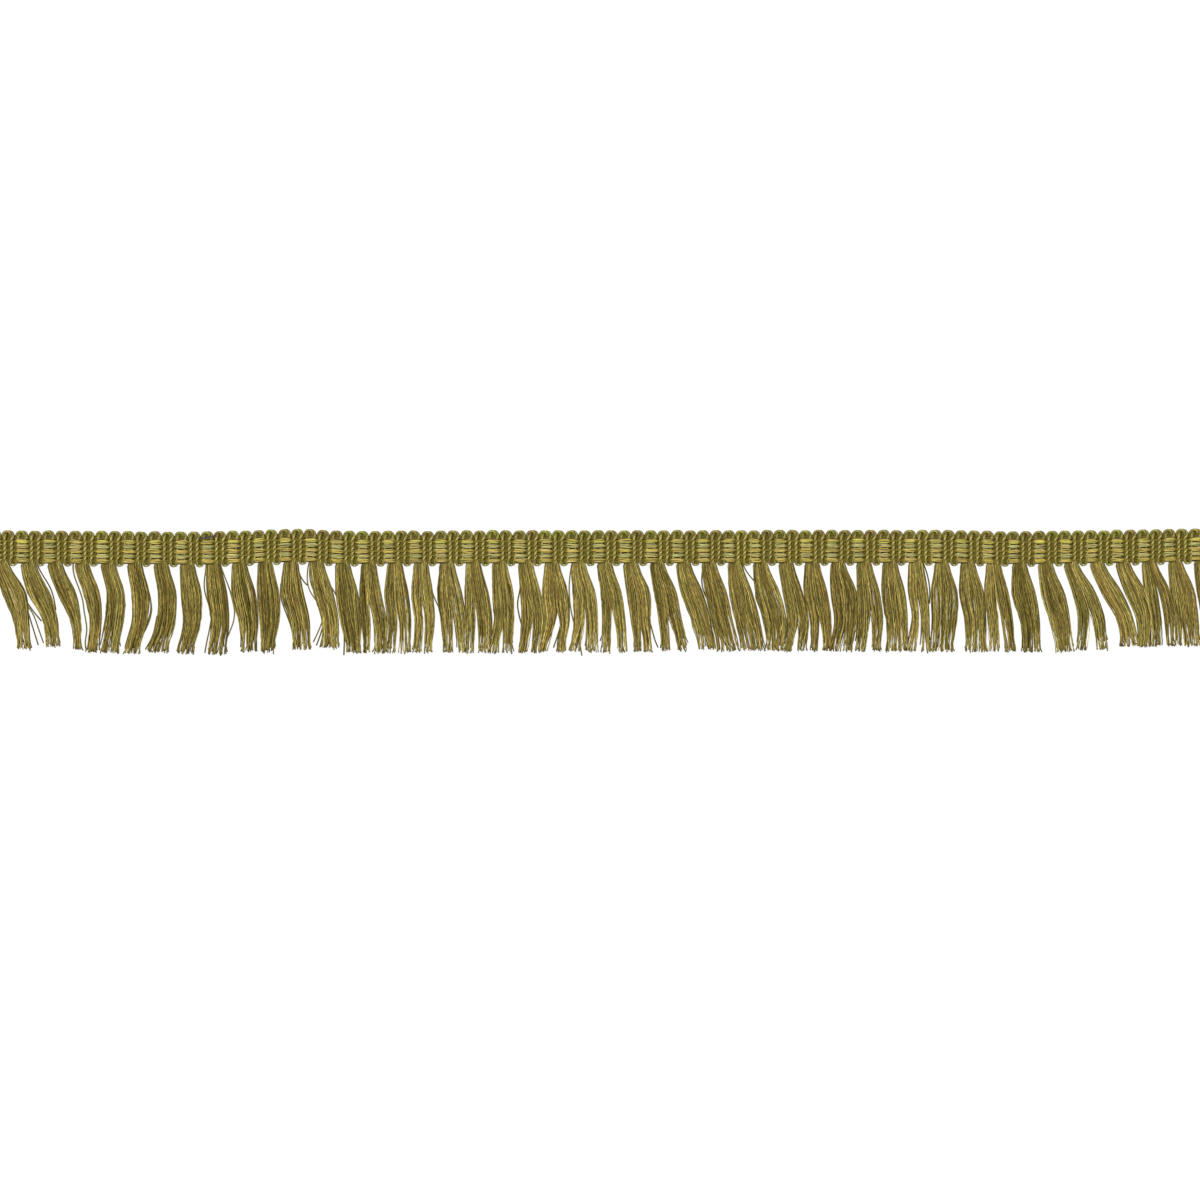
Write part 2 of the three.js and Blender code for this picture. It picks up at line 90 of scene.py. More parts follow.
# The locks from left to right. Each has, in millimetres, how far its middle lies to the right of
# its root and how wide it is, both at a third, at two thirds and at the end of its drop, and then
# its drop. After that come the share of it to the left of its parting, where along the drop that
# opens, and how wide it is at the cut end, in millimetres.
LOCKS = (
    ((1.4, 2.0, 2.2), (5.6, 4.6, 4.2), 23.6, 0.5, 0.6, 0.3),
    ((3.0, 4.7, 5.5), (6.7, 4.5, 3.7), 23.6, 0.5, 0.7, 0.4),
    ((2.2, 5.3, 6.6), (6.3, 4.6, 3.8), 22.9, 0.5, 0.5, 0.0),
    ((2.8, 5.4, 6.0), (5.4, 2.9, 2.1), 23.7, 0.5, 0.5, 0.0),
    ((2.5, 3.6, 2.6), (4.8, 3.4, 3.0), 24.4, 0.8, 0.6, 0.4),
    ((1.9, 1.5, 0.1), (5.0, 5.3, 5.4), 24.6, 0.47, 0.5, 0.4),
    ((1.5, 1.2, -0.8), (5.2, 4.3, 4.2), 24.8, 0.5, 0.5, 0.0),
    ((1.6, 1.2, -1.2), (5.3, 5.4, 5.7), 24.4, 0.68, 0.8, 0.5),
    ((1.1, 1.3, -0.4), (6.2, 5.2, 4.7), 24.6, 0.5, 0.5, 0.0),
    ((1.0, 1.8, 0.8), (6.0, 5.3, 5.0), 25.0, 0.6, 0.5, 0.3),
    ((1.1, 2.5, 2.5), (7.0, 5.8, 4.1), 24.5, 0.5, 0.5, 0.0),
    ((0.7, 1.1, 0.5), (6.4, 5.8, 3.6), 24.7, 0.5, 0.5, 0.0),
    ((0.2, 2.2, 3.0), (6.5, 5.9, 5.3), 24.2, 0.8, 0.5, 0.2),
    ((1.7, 3.5, 3.6), (5.8, 5.2, 5.0), 23.3, 0.4, 0.7, 0.0),
    ((1.0, 1.9, 3.0), (6.6, 6.3, 3.8), 24.6, 0.2, 0.6, 0.4),
    ((0.3, 1.3, 1.3), (6.4, 7.4, 6.6), 24.8, 0.36, 0.43, 1.3),
    ((0.2, 0.9, 0.6), (7.0, 6.9, 7.3), 24.6, 0.48, 0.5, 0.8),
    ((0.1, 0.8, 0.2), (6.3, 5.9, 5.3), 24.6, 0.48, 0.3, 1.0),
    ((0.7, 1.5, 1.9), (6.9, 7.4, 6.7), 24.6, 0.5, 0.55, 1.3),
    ((0.8, 1.4, 1.1), (7.0, 7.6, 7.0), 24.8, 0.42, 0.47, 0.9),
    ((0.8, 1.1, 0.1), (6.1, 5.8, 6.7), 24.7, 0.5, 0.72, 0.9),
    ((1.3, 2.0, 0.9), (6.0, 6.9, 6.1), 24.7, 0.48, 0.45, 0.9),
    ((0.7, 1.4, -0.1), (7.7, 7.1, 7.0), 24.5, 0.5, 0.55, 3.5),
    ((1.6, 2.1, 1.4), (6.6, 7.1, 7.8), 24.5, 0.48, 0.5, 1.6),
    ((1.8, 2.6, 2.8), (6.1, 6.8, 7.3), 24.7, 0.5, 0.53, 1.7),
    ((2.0, 2.8, 3.5), (6.4, 5.5, 5.3), 24.5, 0.52, 0.68, 0.8),
    ((2.4, 3.7, 5.1), (6.4, 6.7, 7.3), 24.2, 0.45, 0.6, 2.2),
    ((2.4, 5.1, 6.9), (6.4, 5.6, 4.8), 23.9, 0.48, 0.82, 0.6),
    ((2.0, 3.8, 5.6), (6.4, 6.1, 6.1), 24.3, 0.6, 0.6, 0.2),
    ((1.7, 3.6, 5.1), (6.8, 7.2, 6.6), 24.2, 0.4, 0.6, 0.2),
    ((2.0, 3.9, 4.0), (7.2, 6.9, 4.7), 24.3, 0.5, 0.5, 0.0),
    ((1.8, 3.2, 2.2), (5.8, 6.1, 6.4), 24.4, 0.5, 0.6, 1.2),
    ((0.8, 2.1, 2.3), (6.9, 6.3, 5.7), 24.4, 0.42, 0.65, 1.3),
    ((1.7, 1.8, 0.5), (7.3, 6.4, 6.3), 24.4, 0.55, 0.75, 0.8),
    ((1.0, 1.4, 0.8), (6.6, 7.5, 7.1), 24.4, 0.52, 0.53, 1.9),
    ((0.7, 1.6, 1.6), (6.9, 6.3, 6.3), 24.4, 0.3, 0.7, 0.2),
    ((0.3, 0.9, 0.4), (5.8, 5.1, 6.4), 24.5, 0.48, 0.32, 1.0),
    ((0.4, 0.1, -0.6), (7.9, 7.5, 6.4), 24.6, 0.5, 0.5, 0.0),
    ((0.8, 1.6, 1.8), (7.4, 6.3, 6.4), 24.5, 0.7, 0.8, 0.4),
    ((0.5, 1.4, 2.0), (7.1, 7.3, 7.7), 24.3, 0.48, 0.3, 1.3),
    ((0.9, 2.4, 2.7), (7.0, 5.8, 5.1), 24.4, 0.5, 0.5, 0.0),
    ((1.7, 3.5, 4.8), (6.8, 5.8, 4.8), 24.4, 0.5, 0.5, 0.0),
    ((3.1, 5.0, 5.1), (6.6, 7.6, 8.7), 24.0, 0.5, 0.58, 2.7),
    ((3.5, 7.0, 8.3), (6.0, 4.7, 5.3), 23.1, 0.5, 0.5, 0.0),
    ((2.9, 5.1, 5.3), (6.1, 4.6, 3.6), 23.2, 0.5, 0.5, 0.0),
    ((1.7, 2.7, 3.0), (7.4, 7.2, 6.6), 23.2, 0.55, 0.25, 1.2),
    ((1.5, 2.3, 2.8), (7.2, 7.2, 7.3), 23.3, 0.3, 0.8, 0.4),
    ((1.2, 1.9, 1.8), (6.3, 5.9, 5.7), 23.2, 0.5, 0.5, 0.2),
)

# Yarns that stray from their locks, in millimetres: the lock's number from the left, and the points
# that the yarn passes, each by how far it lies to the right of the lock's root and how far up from
# the middle of the heading.
STRAYS = (
    (1, ((6.2, -16.4), (6.7, -18.7), (7.9, -22.7), (9.6, -28.2))),
    (1, ((6.7, -17.0), (8.2, -19.0), (9.6, -23.3), (11.1, -27.6))),
    (1, ((6.7, -16.1), (7.9, -18.1), (9.3, -19.8), (10.5, -21.3))),
    (2, (
        (2.1, -4.3), (2.7, -6.0), (4.1, -8.6), (5.6, -10.9), (6.4, -12.9), (6.9, -15.2),
        (7.2, -18.1),
    )),
    (4, (
        (-2.5, -4.6), (-2.8, -6.0), (-2.2, -8.9), (-1.1, -11.5), (0.1, -15.2), (0.3, -18.7),
        (1.1, -22.4), (1.2, -24.4), (0.6, -26.7), (0.3, -28.2), (0.9, -29.6),
    )),
    (4, ((4.7, -18.7), (5.2, -22.4), (4.9, -25.3), (4.5, -28.2), (4.7, -29.6))),
    (6, ((2.9, -10.9), (4.3, -14.4), (5.0, -17.5), (4.0, -21.6), (1.7, -25.9))),
    (6, ((3.2, -10.3), (4.6, -14.9), (4.6, -18.7), (3.2, -22.4), (2.0, -25.0))),
    (7, ((-1.2, -19.5), (-2.3, -25.3), (-4.6, -29.3))),
    (9, ((-2.1, -4.6), (-2.2, -6.6), (-2.8, -9.5), (-2.7, -12.4), (-1.8, -15.2), (-0.9, -17.5))),
    (9, (
        (1.9, -4.6), (2.5, -6.6), (3.7, -9.5), (4.8, -12.4), (5.7, -16.1), (6.3, -18.7),
        (5.7, -22.1), (4.2, -25.3), (3.7, -26.7),
    )),
    (9, ((-0.3, -18.7), (-1.2, -23.9), (-2.0, -27.3), (-2.5, -30.2))),
    (12, ((-3.0, -10.9), (-3.3, -14.7), (-2.4, -17.2), (-1.6, -19.5), (-0.4, -22.4), (0.4, -25.6))),
    (12, ((1.6, -5.2), (2.2, -8.0), (3.3, -10.3), (4.6, -11.4))),
    (13, (
        (-2.1, -4.3), (-2.8, -7.2), (-3.0, -9.5), (-2.5, -12.9), (-0.7, -15.2), (0.7, -17.0),
        (1.8, -19.8),
    )),
    (13, ((1.3, -6.6), (2.4, -9.5), (3.6, -11.2), (5.0, -12.4), (5.9, -15.2))),
    (13, ((7.6, -24.4), (7.7, -26.7), (7.6, -29.0), (7.5, -31.0))),
    (13, ((-1.7, -4.3), (-2.2, -7.2), (-2.2, -9.5), (-1.4, -12.5), (0.2, -15.0))),
    (13, ((-1.3, -4.3), (-1.6, -7.2), (-1.5, -10.0), (-0.6, -13.0), (0.8, -16.0))),
    (13, ((1.8, -20.0), (0.9, -22.8), (-0.2, -25.4), (-1.3, -27.7))),
    (13, ((2.2, -20.5), (1.4, -23.5), (0.6, -26.0), (-0.4, -28.6))),
    (13, ((2.6, -21.0), (1.9, -24.0), (1.2, -26.8), (0.6, -29.1))),
    (13, ((3.0, -21.5), (2.6, -24.5), (2.2, -27.0), (1.9, -29.1))),
    (17, ((1.5, -7.2), (2.3, -10.1), (3.5, -14.4), (5.2, -18.1))),
    (21, (
        (-1.5, -10.1), (-1.7, -12.9), (-2.4, -14.7), (-2.7, -16.7), (-2.2, -19.0), (-1.8, -21.0),
        (-1.0, -23.6),
    )),
    (22, ((3.4, -18.6), (2.7, -21.0), (1.9, -24.4), (1.0, -27.0), (0.3, -29.0))),
    (22, ((3.0, -20.4), (1.9, -24.0), (1.6, -26.7), (1.3, -30.2))),
    (23, (
        (-1.9, -5.2), (-2.3, -7.2), (-2.7, -10.9), (-2.6, -15.2), (-2.1, -18.7), (-1.6, -21.0),
        (-0.6, -23.8),
    )),
    (23, ((0.2, -25.0), (0.4, -28.2), (1.0, -31.3))),
    (25, ((4.4, -18.7), (5.6, -21.6), (6.4, -24.7), (7.0, -27.3), (7.9, -29.0))),
    (28, ((-1.7, -4.9), (-2.0, -7.2), (-2.3, -10.1), (-1.7, -12.9), (-0.5, -15.2))),
    (29, ((2.0, -4.3), (2.9, -6.6), (4.3, -8.6), (5.5, -9.8))),
    (33, ((-2.1, -6.0), (-2.4, -9.5), (-2.1, -15.2), (-1.2, -20.4), (-1.5, -25.0))),
    (36, ((1.8, -3.7), (2.4, -5.5), (3.3, -8.0), (3.9, -12.4), (3.6, -16.4))),
    (45, ((2.2, -9.5), (2.2, -11.2), (3.6, -12.9), (4.8, -15.2), (5.4, -18.1), (5.6, -20.1))),
)

FULL_TURN = 2 * math.pi
TINY = 1e-12

# How strongly the painted shade on a strand's sides and underside takes its red, green and blue:
# that painted shade is also more yellow.
SIDE_SHADING = (1.0, 1.0, 1.35)


def clamped(value):
    return np.clip(value, 0.0, 1.0)


def smooth(value):
    """A share from 0 to 1, eased at both ends."""
    held = clamped(value)
    return held * held * (3 - 2 * held)


def spread(low, high, count):
    return np.linspace(low, high, count)


def bow_at(x):
    """How far the trim has risen at x, eased between the marks of the table."""
    place = np.clip(x, BOW_X[0], BOW_X[-1])
    after = np.clip(np.searchsorted(BOW_X, place), 1, len(BOW_X) - 1)
    low, high = np.take(BOW_X, after - 1), np.take(BOW_X, after)
    share = smooth((place - low) / (high - low))
    return np.take(BOW_RISE, after - 1) * (1 - share) + np.take(BOW_RISE, after) * share


def pull_at(x, y):
    """How far the weave is pulled along the trim. The locks follow it less further down."""
    followed = clamped((y - PULL_ENDS) / (PULL_FULL - PULL_ENDS))
    return np.interp(x, PULL_X, PULL) * followed


def travelled(points):
    """How far along a path each of its points lies."""
    return np.concatenate([[0], np.cumsum(np.linalg.norm(np.diff(points, axis=0), axis=1))])


def evenly(points, step, *followers):
    """Respaces a path, and the values that follow it, to about one step between points."""
    run = travelled(points)
    at = spread(0, run[-1], max(2, int(round(run[-1] / step)) + 1))
    lines = [np.interp(at, run, points[:, axis]) for axis in range(3)]
    return [np.stack(lines, axis=1), *(np.interp(at, run, values) for values in followers)]


def eased(values, times=2):
    """Rounds off a path's corners and keeps its ends."""
    for _ in range(times):
        middle = (values[:-2] + 2 * values[1:-1] + values[2:]) / 4
        values = np.concatenate([values[:1], middle, values[-1:]])
    return values


def across(points):
    """The two directions across a path at each point: one level, and one towards the face."""
    along = np.gradient(points, axis=0)
    along /= np.linalg.norm(along, axis=1, keepdims=True) + TINY
    level = np.cross(along, (0.0, 0.0, 1.0))
    level /= np.linalg.norm(level, axis=1, keepdims=True) + TINY
    return level, np.cross(level, along)


class Strands:
    """Gathers round strands and joins them into one mesh."""

    def __init__(self, sides):
        self.sides = sides
        self.points, self.faces, self.runs, self.tints = [], [], [], []
        self.count = 0

    def add(self, points, radius, tint, flat=1.0, turn=0.0, shift=0.0, rim=0.4):
        """Adds a strand along points, closed at both ends.

        flat squashes it towards the cloth, turn starts its sides elsewhere round it, shift starts
        its twist elsewhere along it, and rim is how much darker its sides and underside are than
        its face, as painted shade.
        """
        level, out = across(points)
        n, sides = len(points), self.sides
        angle = turn + np.arange(sides) * FULL_TURN / sides
        size = np.broadcast_to(np.asarray(radius, float), (n,))[:, None, None]
        sideways = level[:, None] * np.cos(angle)[None, :, None]
        ring = sideways + out[:, None] * np.sin(angle)[None, :, None] * flat
        self.points.append((points[:, None] + ring * size).reshape(-1, 3))

        i, j = np.meshgrid(np.arange(n - 1), np.arange(sides), indexing="ij")
        here, after, next_side = i * sides, (i + 1) * sides, (j + 1) % sides
        quads = np.stack([here + j, here + next_side, after + next_side, after + j], axis=-1)
        self.faces += (quads.reshape(-1, 4) + self.count).tolist()
        run = travelled(points) + shift
        u = np.stack([j, j + 1, j + 1, j], axis=-1) / sides
        v = np.stack([run[i], run[i], run[i + 1], run[i + 1]], axis=-1)
        self.runs.append(np.stack([u, v], axis=-1).reshape(-1, 2))
        last = self.count + (n - 1) * sides
        self.close(range(self.count + sides - 1, self.count - 1, -1), run[0])
        self.close(range(last, last + sides), run[-1])

        colours = np.broadcast_to(np.asarray(tint, float), (n, 3))
        # Painted shade: a strand's sides and underside are darker and more yellow than its face.
        lit = 1 - rim * (1 - clamped(np.sin(angle)))
        shaded = lit[:, None] ** np.array(SIDE_SHADING)
        self.tints.append((colours[:, None] * shaded[None]).reshape(-1, 3))
        self.count += n * sides

    def close(self, rim_points, run):
        """Closes one end of a strand, which lies at run, with a face between its rim's points."""
        self.faces.append(list(rim_points))
        self.runs.append(np.full((self.sides, 2), (0.5, run)))

    def made(self, name, material):
        """The piece that the strands make, laid along the pull and the bow of the trim."""
        points = np.concatenate(self.points)
        points[:, 0] += pull_at(points[:, 0], points[:, 1])
        points[:, 1] += bow_at(points[:, 0])
        runs, tints = np.concatenate(self.runs), np.concatenate(self.tints)
        return yarn_piece(name, points, self.faces, runs, tints, material)


def yarn_piece(name, points, faces, runs, tints, material):
    """A smooth piece. runs says for each corner of a face where on the yarn it lies, and tints
    gives each point its tint."""
    mesh = bpy.data.meshes.new(name)
    mesh.from_pydata((points * MM).tolist(), [], faces)
    mesh.uv_layers.new(name="run").data.foreach_set("uv", runs.ravel())
    rgba = np.concatenate([tints, np.ones((len(tints), 1))], axis=1)
    tint = mesh.color_attributes.new("tint", "FLOAT_COLOR", "POINT")
    tint.data.foreach_set("color", rgba.ravel())
    mesh.shade_smooth()
    return placed(name, mesh, material)


def placed(name, mesh, material):
    mesh.materials.append(material)
    piece = bpy.data.objects.new(name, mesh)
    bpy.context.scene.collection.objects.link(piece)
    return piece


def linear(colour):
    """A colour as it is picked on screen, made linear."""
    c = np.asarray(colour[:3], float)
    return np.where(c <= 0.04045, c / 12.92, ((c + 0.055) / 1.055) ** 2.4)


def mixed(one, other, share):
    return linear(one) * (1 - share) + linear(other) * share


def set_inputs(made, inputs):
    for name, value in inputs.items():
        made.inputs[name].default_value = value
    return made


def math_node(tree, operation, *values):
    """What a new math node gives. Each of its values is a number or what another node gives."""
    made = tree.nodes.new("ShaderNodeMath")
    made.operation = operation
    for socket, value in zip(made.inputs, values):
        if isinstance(value, (int, float)):
            socket.default_value = value
        else:
            tree.links.new(value, socket)
    return made.outputs[0]


# The fibres of a yarn: the scale of their grain, how many streaks of colour lie round the yarn and
# in each millimetre of it, and how far the grooves between its plies stand out, in metres.
GRAIN_SCALE = 5200.0
STREAKS_ROUND = 7.0
STREAKS_ALONG = 0.7
GROOVE_DISTANCE = 0.00006


def yarn_finish(name, plies, lay, depth, roughness, gloss, mottle, groove_shade=0.2, follow=1.0):
    """The finish of a twisted yarn.

    plies and lay, in millimetres, give the twist. depth is how deep its grooves look, gloss how
    much it shines, and mottle how uneven its colour is. marl is how much painted shade darkens the
    grooves between its plies and painted light brightens their crowns, and follow how far the
    uneven colour goes round with the twist.
    """
    material = bpy.data.materials.new(name)
    material.use_nodes = True
    tree = material.node_tree
    link = tree.links.new
    shader = tree.nodes["Principled BSDF"]
    set_inputs(shader, {"Roughness": roughness, "Specular IOR Level": gloss})
    set_inputs(shader, {"Sheen Weight": 0.12, "Sheen Roughness": 0.4})
    set_inputs(shader, {"Sheen Tint": (0.9, 0.8, 0.45, 1.0)})

    place = tree.nodes.new("ShaderNodeUVMap")
    place.uv_map = "run"
    parts = tree.nodes.new("ShaderNodeSeparateXYZ")
    link(place.outputs["UV"], parts.inputs[0])
    round_yarn, down_yarn = parts.outputs["X"], parts.outputs["Y"]
    turn = math_node(tree, "MULTIPLY", round_yarn, FULL_TURN * plies)
    advance = math_node(tree, "MULTIPLY", down_yarn, FULL_TURN * plies / lay)
    phase = math_node(tree, "ADD", turn, advance)
    wave = math_node(tree, "SINE", phase)

    where = tree.nodes.new("ShaderNodeTexCoord")
    grain = set_inputs(
        tree.nodes.new("ShaderNodeTexNoise"), {"Scale": GRAIN_SCALE, "Detail": 3.0}
    )
    link(where.outputs["Object"], grain.inputs["Vector"])
    grooves = math_node(tree, "MULTIPLY", wave, 0.5)
    height = math_node(tree, "ADD", grooves, grain.outputs["Fac"])
    bump = set_inputs(
        tree.nodes.new("ShaderNodeBump"), {"Strength": depth, "Distance": GROOVE_DISTANCE}
    )
    link(height, bump.inputs["Height"])
    link(bump.outputs["Normal"], shader.inputs["Normal"])

    fibre = tree.nodes.new("ShaderNodeCombineXYZ")
    followed = math_node(tree, "MULTIPLY", phase, follow)
    streaks_round = math_node(tree, "MULTIPLY", round_yarn, STREAKS_ROUND)
    link(math_node(tree, "ADD", streaks_round, followed), fibre.inputs["X"])
    link(math_node(tree, "MULTIPLY", down_yarn, STREAKS_ALONG), fibre.inputs["Y"])
    streak = set_inputs(tree.nodes.new("ShaderNodeTexNoise"), {"Scale": 1.0, "Detail": 3.0})
    link(fibre.outputs["Vector"], streak.inputs["Vector"])

    tint = tree.nodes.new("ShaderNodeAttribute")
    tint.attribute_name = "tint"
    # Painted shade in the grooves between the plies and painted light on their crowns, in step with
    # the bump.
    groove_shaded = math_node(tree, "MULTIPLY_ADD", wave, groove_shade, 1.0)
    mottled = math_node(tree, "MULTIPLY_ADD", streak.outputs["Fac"], mottle, 1.0 - mottle / 2)
    shaded = tree.nodes.new("ShaderNodeVectorMath")
    shaded.operation = "SCALE"
    link(tint.outputs["Color"], shaded.inputs[0])
    link(math_node(tree, "MULTIPLY", groove_shaded, mottled), shaded.inputs["Scale"])
    link(shaded.outputs["Vector"], shader.inputs["Base Color"])
    return material


def own(piece):
    """Says that the piece rides on the trim."""
    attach(piece, "root")


def length_property(name, description, length):
    return bpy.props.FloatProperty(
        name=name, description=description, default=length, unit="LENGTH"
    )


class HeadingSizes(bpy.types.PropertyGroup):
    """The sizes of the woven heading"""

    repeat: length_property("Repeat", "Length of one repeat of the weave", 0.0075)
    cord: length_property("Cord", "Thickness of the cords that form ribs and loops", 0.00114)
    lay: length_property("Lay", "Length in which a cord's two plies turn once", 0.00273)
    float_yarn: length_property(
        "Float yarn", "Thickness of the yarns that float over the cords", 0.00045
    )
    row_pitch: length_property("Row pitch", "Distance between two rows of floats", 0.001365)
    first_row: length_property(
        "First row", "Height of the top row of floats above the middle of the heading", 0.00161
    )


class FringeSizes(bpy.types.PropertyGroup):
    """The sizes of the skirt of cut yarn"""

    yarn: length_property("Yarn", "Thickness of the cut yarns", 0.00032)
    root_width: length_property(
        "Root width", "Width of a lock where it leaves the heading", 0.0044
    )
    waver: length_property("Waver", "How far a yarn strays from its lock's line", 0.0002)
    seed: bpy.props.IntProperty(
        name="Seed", description="Starts the chance in how the yarns lie", default=7
    )


def colour_property(name, description, colour):
    shown = {"name": name, "description": description, "subtype": "COLOR_GAMMA"}
    return bpy.props.FloatVectorProperty(default=colour, size=3, min=0.0, max=1.0, **shown)


class YarnColours(bpy.types.PropertyGroup):
    """The colours of the yarns, as they are picked on screen"""

    fringe_dark: colour_property(
        "Fringe, dark", "The darkest of the cut yarns", (0.335, 0.3, 0.078)
    )
    fringe_light: colour_property(
        "Fringe, light", "The lightest of the cut yarns", (0.76, 0.705, 0.408)
    )
    fringe_brown: colour_property(
        "Fringe, brown", "The browner of the cut yarns", (0.54, 0.44, 0.212)
    )
    # The two colours of the cords are painted shade where a ply lies low, and a painted highlight
    # where it rises on the face.
    cord_shaded: colour_property("Cord, low", "The cords where they lie low", (0.49, 0.443, 0.18))
    cord_highlight: colour_property(
        "Cord, high", "The cords where they rise on the face", (0.67, 0.615, 0.355)
    )
    loop_green: colour_property("Loop, green", "The greener of the loops", (0.58, 0.58, 0.23))
    loop_brown: colour_property("Loop, brown", "The browner of the loops", (0.57, 0.49, 0.26))
    float_gold: colour_property(
        "Float, gold", "First, third and fifth row of floats", (0.68, 0.61, 0.27)
    )
    float_sage: colour_property(
        "Float, sage", "Second and fourth row of floats", (0.63, 0.62, 0.378)
    )
    float_tan: colour_property("Float, tan", "The tan yarns among the floats", (0.68, 0.6, 0.348))
    binding: colour_property("Binding", "Threads that tie the cords down", (0.475, 0.43, 0.16))
    edge_thread: colour_property("Edge thread", "The threads below the loops", (0.45, 0.39, 0.19))
    caught_thread: colour_property(
        "Caught thread", "The dark thread caught on the loops", (0.24, 0.22, 0.26)
    )
    ground: colour_property("Ground", "The ground cloth behind the cords", (0.39, 0.35, 0.12))


# The ground cloth, in millimetres. Its edges are scalloped, to stay behind the loops: the cloth's
# top and foot, the reach of their scallops, how high it lies and how deep it waves.
CLOTH_TOP, CLOTH_TOP_REACH = 3.8, 0.4
CLOTH_FOOT, CLOTH_FOOT_REACH = -4.55, 0.5
CLOTH_LEVEL, CLOTH_WAVE = 0.6, 0.1


class TRIM_OT_ground(bpy.types.Operator):
    """Lays the thin ground cloth that the cords are woven through"""

    bl_idname = "trim.ground"
    bl_label = "Ground cloth"

    def execute(self, context):
        sizes, colours = context.scene.trim_heading, context.scene.trim_colours
        repeat, pitch = sizes.repeat / MM, sizes.row_pitch / MM
        half = sizes.repeat * REPEATS / MM / 2
        columns, rows = REPEATS * 12 + 1, 17
        x, up = np.meshgrid(spread(-half, half, columns), spread(0, 1, rows), indexing="ij")
        top = CLOTH_TOP - CLOTH_TOP_REACH * np.cos(2 * FULL_TURN * x / repeat)
        share = (x + half) / repeat % 1.0
        foot = CLOTH_FOOT - CLOTH_FOOT_REACH * np.cos(FULL_TURN * (share + 0.02)) ** 2
        y = foot + (top - foot) * up
        rib = np.cos(FULL_TURN * x / (repeat / 4) + math.pi)
        row = np.cos(FULL_TURN * (y - sizes.first_row / MM) / pitch)
        z = CLOTH_LEVEL + CLOTH_WAVE * rib * row
        points = np.stack([x + pull_at(x, y), y + bow_at(x), z], axis=-1).reshape(-1, 3)
        i, j = np.meshgrid(np.arange(columns - 1), np.arange(rows - 1), indexing="ij")
        corner = i * rows + j
        quads = np.stack([corner, corner + rows, corner + rows + 1, corner + 1], axis=-1)
        quads = quads.reshape(-1, 4)
        runs = points[quads.ravel()][:, :2]
        tints = np.tile(linear(colours.ground), (len(points), 1))
        finish = yarn_finish(
            "ground cloth", plies=1, lay=0.8, depth=0.4, roughness=0.9, gloss=0.1, mottle=0.6
        )
        cloth = yarn_piece("ground_cloth", points, quads.tolist(), runs, tints, finish)
        own(cloth)
        return {"FINISHED"}


# Where the four ribs of a repeat stand, as shares of it. The first two lie under the floats.
RIBS = (0.125, 0.375, 0.625, 0.875)

# Heights on the face, in millimetres above the middle of the heading: where loops start and ribs
# end, the middle of the small loops, the feet of the ribs that turn there and of those that run
# into a lock, and where the cords end in it.
LOOP_FOOT = 2.85
RIB_TOP = 2.3
RING_MIDDLE = -4.55
RING_RIB_FOOT = -3.0
LOCK_RIB_FOOT = -4.3
CORD_END = -4.9

# Half a loop's width, how far it rises, and a small loop's radius, in millimetres.
LOOP_HALF_WIDTH, LOOP_RISE, RING_RADIUS = 1.2, 1.55, 0.86

# How high the cords lie above the table, in millimetres, where floats cross them and where they
# lie bare.
COVERED_RIB, COVERED_LOOP = 0.64, 0.78
BARE_RIB, BARE_LOOP = 1.02, 1.06
RING_LEVEL = 1.5

# How thick a cord is, as a share of its thickness on a rib.
LOOP_SWELL, LOOP_PRESS, RING_THICKNESS, END_THICKNESS = 1.3, 0.28, 0.62, 0.7


def cord_route(start, repeat, first_row, pitch, left, right, chance):
    """The line of one cord, from the lock on its right to the lock on its left.

    It climbs under a block of floats, turns in a loop, comes down, turns in the small loop between
    two locks, climbs again, turns in a second loop and comes down into the next lock. left and
    right say which halves of it there are. Each point has the cord's thickness there, and which
    way it runs: 1 up a rib, -1 down a rib and 0 elsewhere.
    """
    points, size, way = [], [], []

    def to(x, y, z, thick, runs=0):
        points.append((x, y, z))
        size.append(thick)
        way.append(runs)

    def rib(x, foot, up, level):
        rows = spread(foot, RIB_TOP, 22)
        for y in rows if up else rows[::-1]:
            nip = 0.5 + 0.5 * math.cos(FULL_TURN * (y - first_row) / pitch)
            to(x, y, level - 0.08 * nip, 1 - 0.12 * nip, 1 if up else -1)

    def loop(x, level):
        lift = chance.normal(0, 0.07)
        lean = chance.normal(0, 0.1)
        swell = chance.normal(LOOP_SWELL, 0.04)
        for turn in spread(0.0, math.pi, 21):
            rise = math.sin(turn)
            wide = LOOP_HALF_WIDTH * math.cos(turn) + lean * rise
            high = LOOP_FOOT + rise * (LOOP_RISE + lift)
            to(x + wide, high, level + 0.05 * rise, swell - LOOP_PRESS * rise ** 2)

    def ring(x, from_turn, to_turn):
        for turn in spread(from_turn, to_turn, 17):
            y = RING_MIDDLE - RING_RADIUS * math.sin(turn)
            to(x + RING_RADIUS * math.cos(turn), y, RING_LEVEL, RING_THICKNESS)

    right_ribs = [start + share * repeat for share in RIBS[:2]]
    left_ribs = [start + (share - 1) * repeat for share in RIBS[2:]]
    ring_x = start + chance.normal(-0.28, 0.12)
    if right:
        to(right_ribs[1], CORD_END, 0.45, END_THICKNESS)
        rib(right_ribs[1], LOCK_RIB_FOOT, True, COVERED_RIB)
        loop(sum(right_ribs) / 2, COVERED_LOOP)
        rib(right_ribs[0], RING_RIB_FOOT, False, COVERED_RIB)
    ring(ring_x, -0.5 if right else math.pi / 2, math.pi + 0.5 if left else math.pi / 2)
    if left:
        rib(left_ribs[1], RING_RIB_FOOT, True, BARE_RIB)
        loop(sum(left_ribs) / 2, BARE_LOOP)
        rib(left_ribs[0], LOCK_RIB_FOOT, False, BARE_RIB)
        to(left_ribs[0], CORD_END, 0.5, END_THICKNESS)
    return np.array(points), np.array(size), np.array(way, float)


